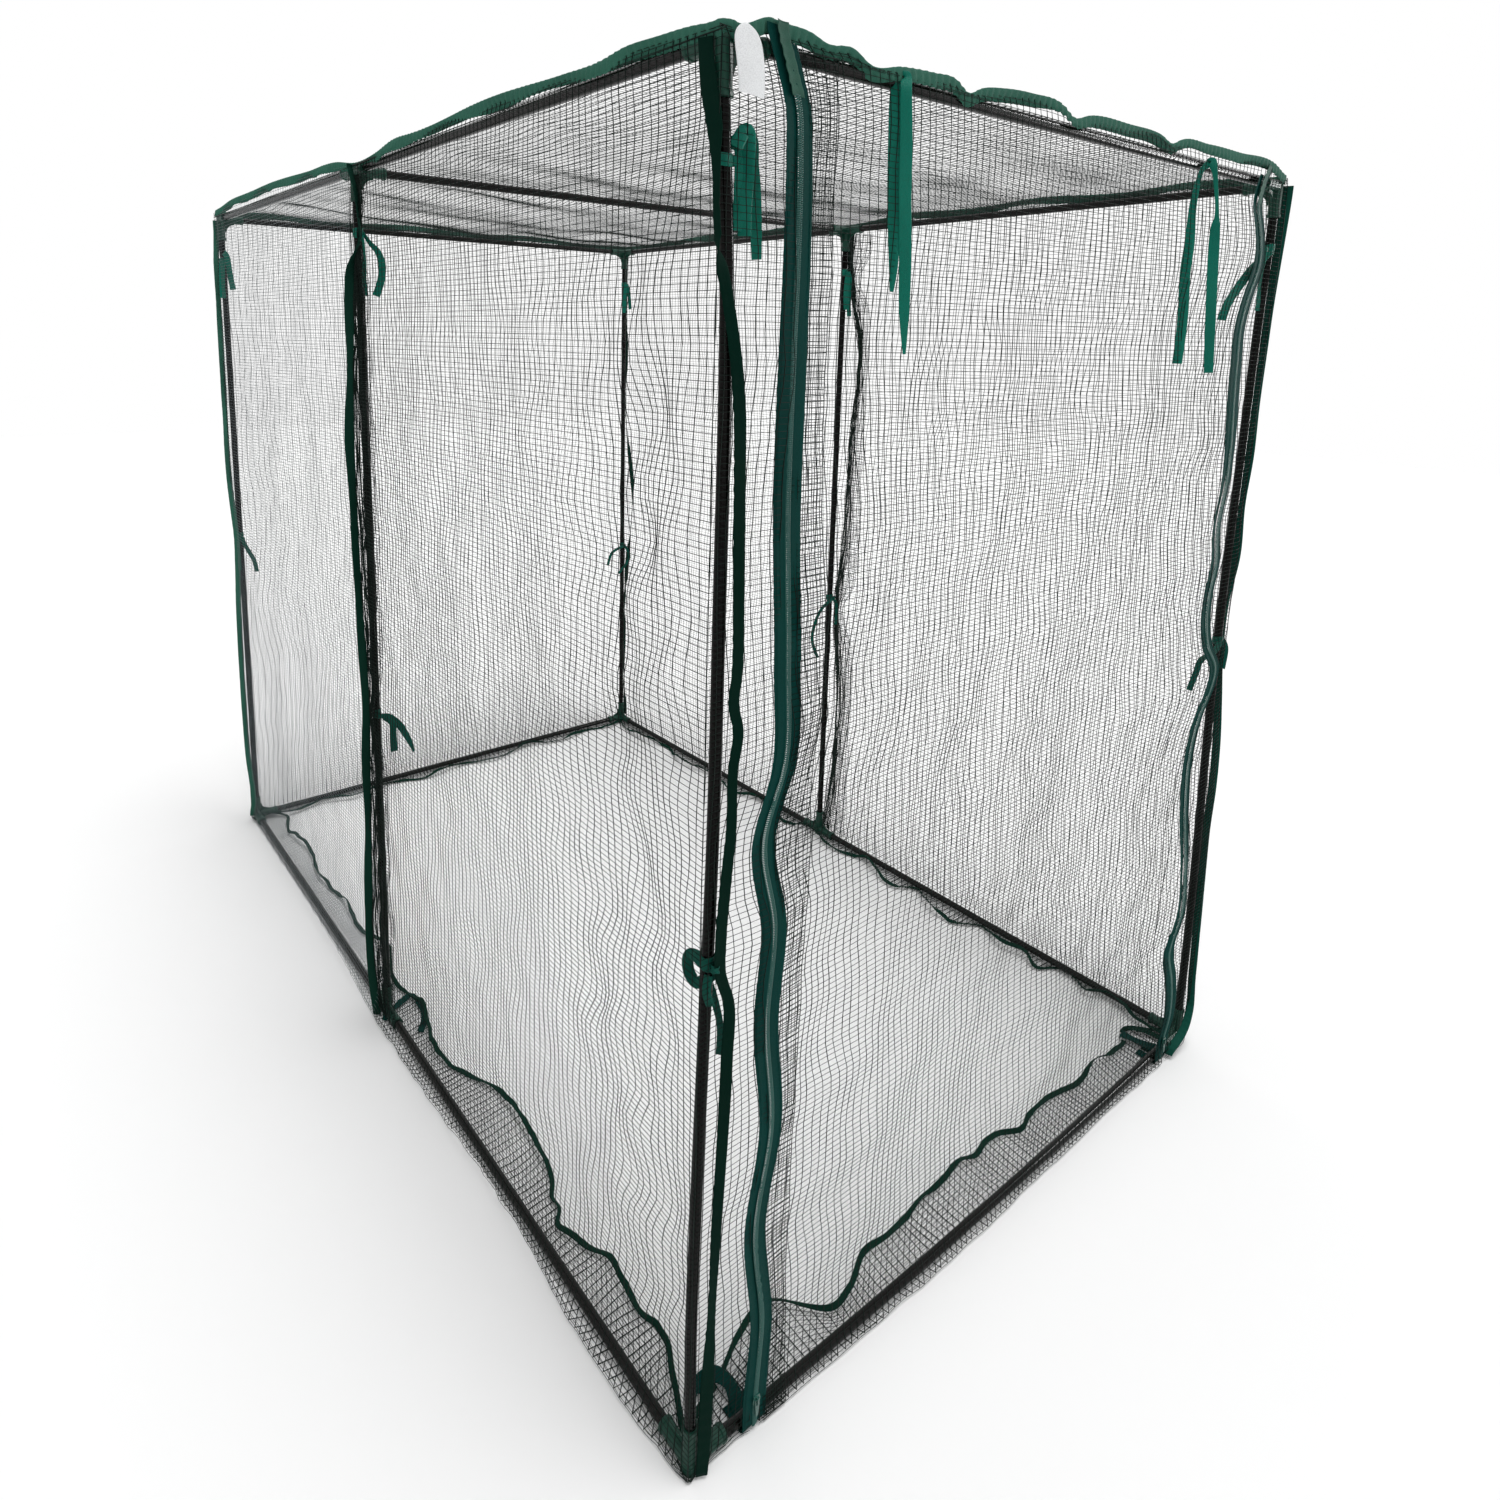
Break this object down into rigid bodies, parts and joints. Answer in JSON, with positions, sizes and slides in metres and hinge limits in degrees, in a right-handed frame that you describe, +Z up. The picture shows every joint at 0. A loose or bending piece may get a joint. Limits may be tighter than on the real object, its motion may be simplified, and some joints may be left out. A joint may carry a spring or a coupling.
{
  "type": "fruit cage",
  "caption": "Walk-in garden fruit cage: a tube frame in plastic sockets under a netting cover with a roll-up zipped door.",
  "frame": {"origin": "on the ground, in the middle of the plan", "axes": "+Z up, -Y out through the door, X along the short front, Y along the length"},
  "size_m": [1.3996, 2.2378, 1.8435],
  "materials": {
    "tube": "black-brown gloss powder coat",
    "connector": "dark green moulded plastic, satin",
    "net": "black-green knitted netting with dark green bound edges",
    "zip_tape": "woven dark green zip tape and edge binding",
    "zip_metal": "green painted zip slider and pull tab",
    "ribbon": "bright green woven ribbon",
    "label": "plain white sewn tag"
  },
  "bodies": {
    "cage": {"base_corner_back_left": "connector", "base_corner_back_right": "connector", "base_corner_front_left": "connector", "base_corner_front_right": "connector", "base_middle_left": "connector", "base_middle_right": "connector", "base_rail_back": "tube", "base_rail_front": "tube", "base_rail_left_back": "tube", "base_rail_left_front": "tube", "base_rail_right_back": "tube", "base_rail_right_front": "tube", "label": "label", "net_back": "net", "net_front_left": "net", "net_front_right": "net", "net_front_top": "net", "net_left": "net", "net_right": "net", "net_roof": "net", "post_back_left": "tube", "post_back_right": "tube", "post_front_left": "tube", "post_front_right": "tube", "post_middle_left": "tube", "post_middle_right": "tube", "post_tie_back_left": "ribbon", "post_tie_back_right": "ribbon", "post_tie_front_left": "ribbon", "post_tie_front_right": "ribbon", "post_tie_middle_left": "ribbon", "post_tie_middle_right": "ribbon", "skirt_back": "net", "skirt_left": "net", "skirt_right": "net", "top_corner_back_left": "connector", "top_corner_back_right": "connector", "top_corner_front_left": "connector", "top_corner_front_right": "connector", "top_middle_left": "connector", "top_middle_right": "connector", "top_rail_back": "tube", "top_rail_cross": "tube", "top_rail_front": "tube", "top_rail_left_back": "tube", "top_rail_left_front": "tube", "top_rail_right_back": "tube", "top_rail_right_front": "tube", "zip_tape_left": "zip_tape", "zip_tape_right": "zip_tape"},
    "door": {"net_door": "net", "door_flap": "net", "door_tape_left": "zip_tape", "door_tape_right": "zip_tape", "door_tie_left": "ribbon", "door_tie_right": "ribbon"},
    "slider_left": {"zip_slider_left": "zip_metal"},
    "pull_left": {"zip_pull_left": "zip_metal"},
    "slider_right": {"zip_slider_right": "zip_metal"},
    "pull_right": {"zip_pull_right": "zip_metal"}
  },
  "joints": [
    {"name": "door_lift", "type": "hinge", "parent": "cage", "child": "door", "pos_m": [0, -1.1148, 1.827], "axis": [-1, 0, 0], "range_deg": [0, 90]},
    {"name": "zip_slide_left", "type": "slide", "parent": "door", "child": "slider_left", "axis": [0, 0, 1], "range_m": [0, 1.7]},
    {"name": "pull_swing_left", "type": "hinge", "parent": "slider_left", "child": "pull_left", "pos_m": [-0.5825, -1.12065, 0.05475], "axis": [-1, 0, 0], "range_deg": [0, 170]},
    {"name": "zip_slide_right", "type": "slide", "parent": "door", "child": "slider_right", "axis": [0, 0, 1], "range_m": [0, 1.7]},
    {"name": "pull_swing_right", "type": "hinge", "parent": "slider_right", "child": "pull_right", "pos_m": [0.5825, -1.12065, 0.05475], "axis": [-1, 0, 0], "range_deg": [0, 170]}
  ]
}
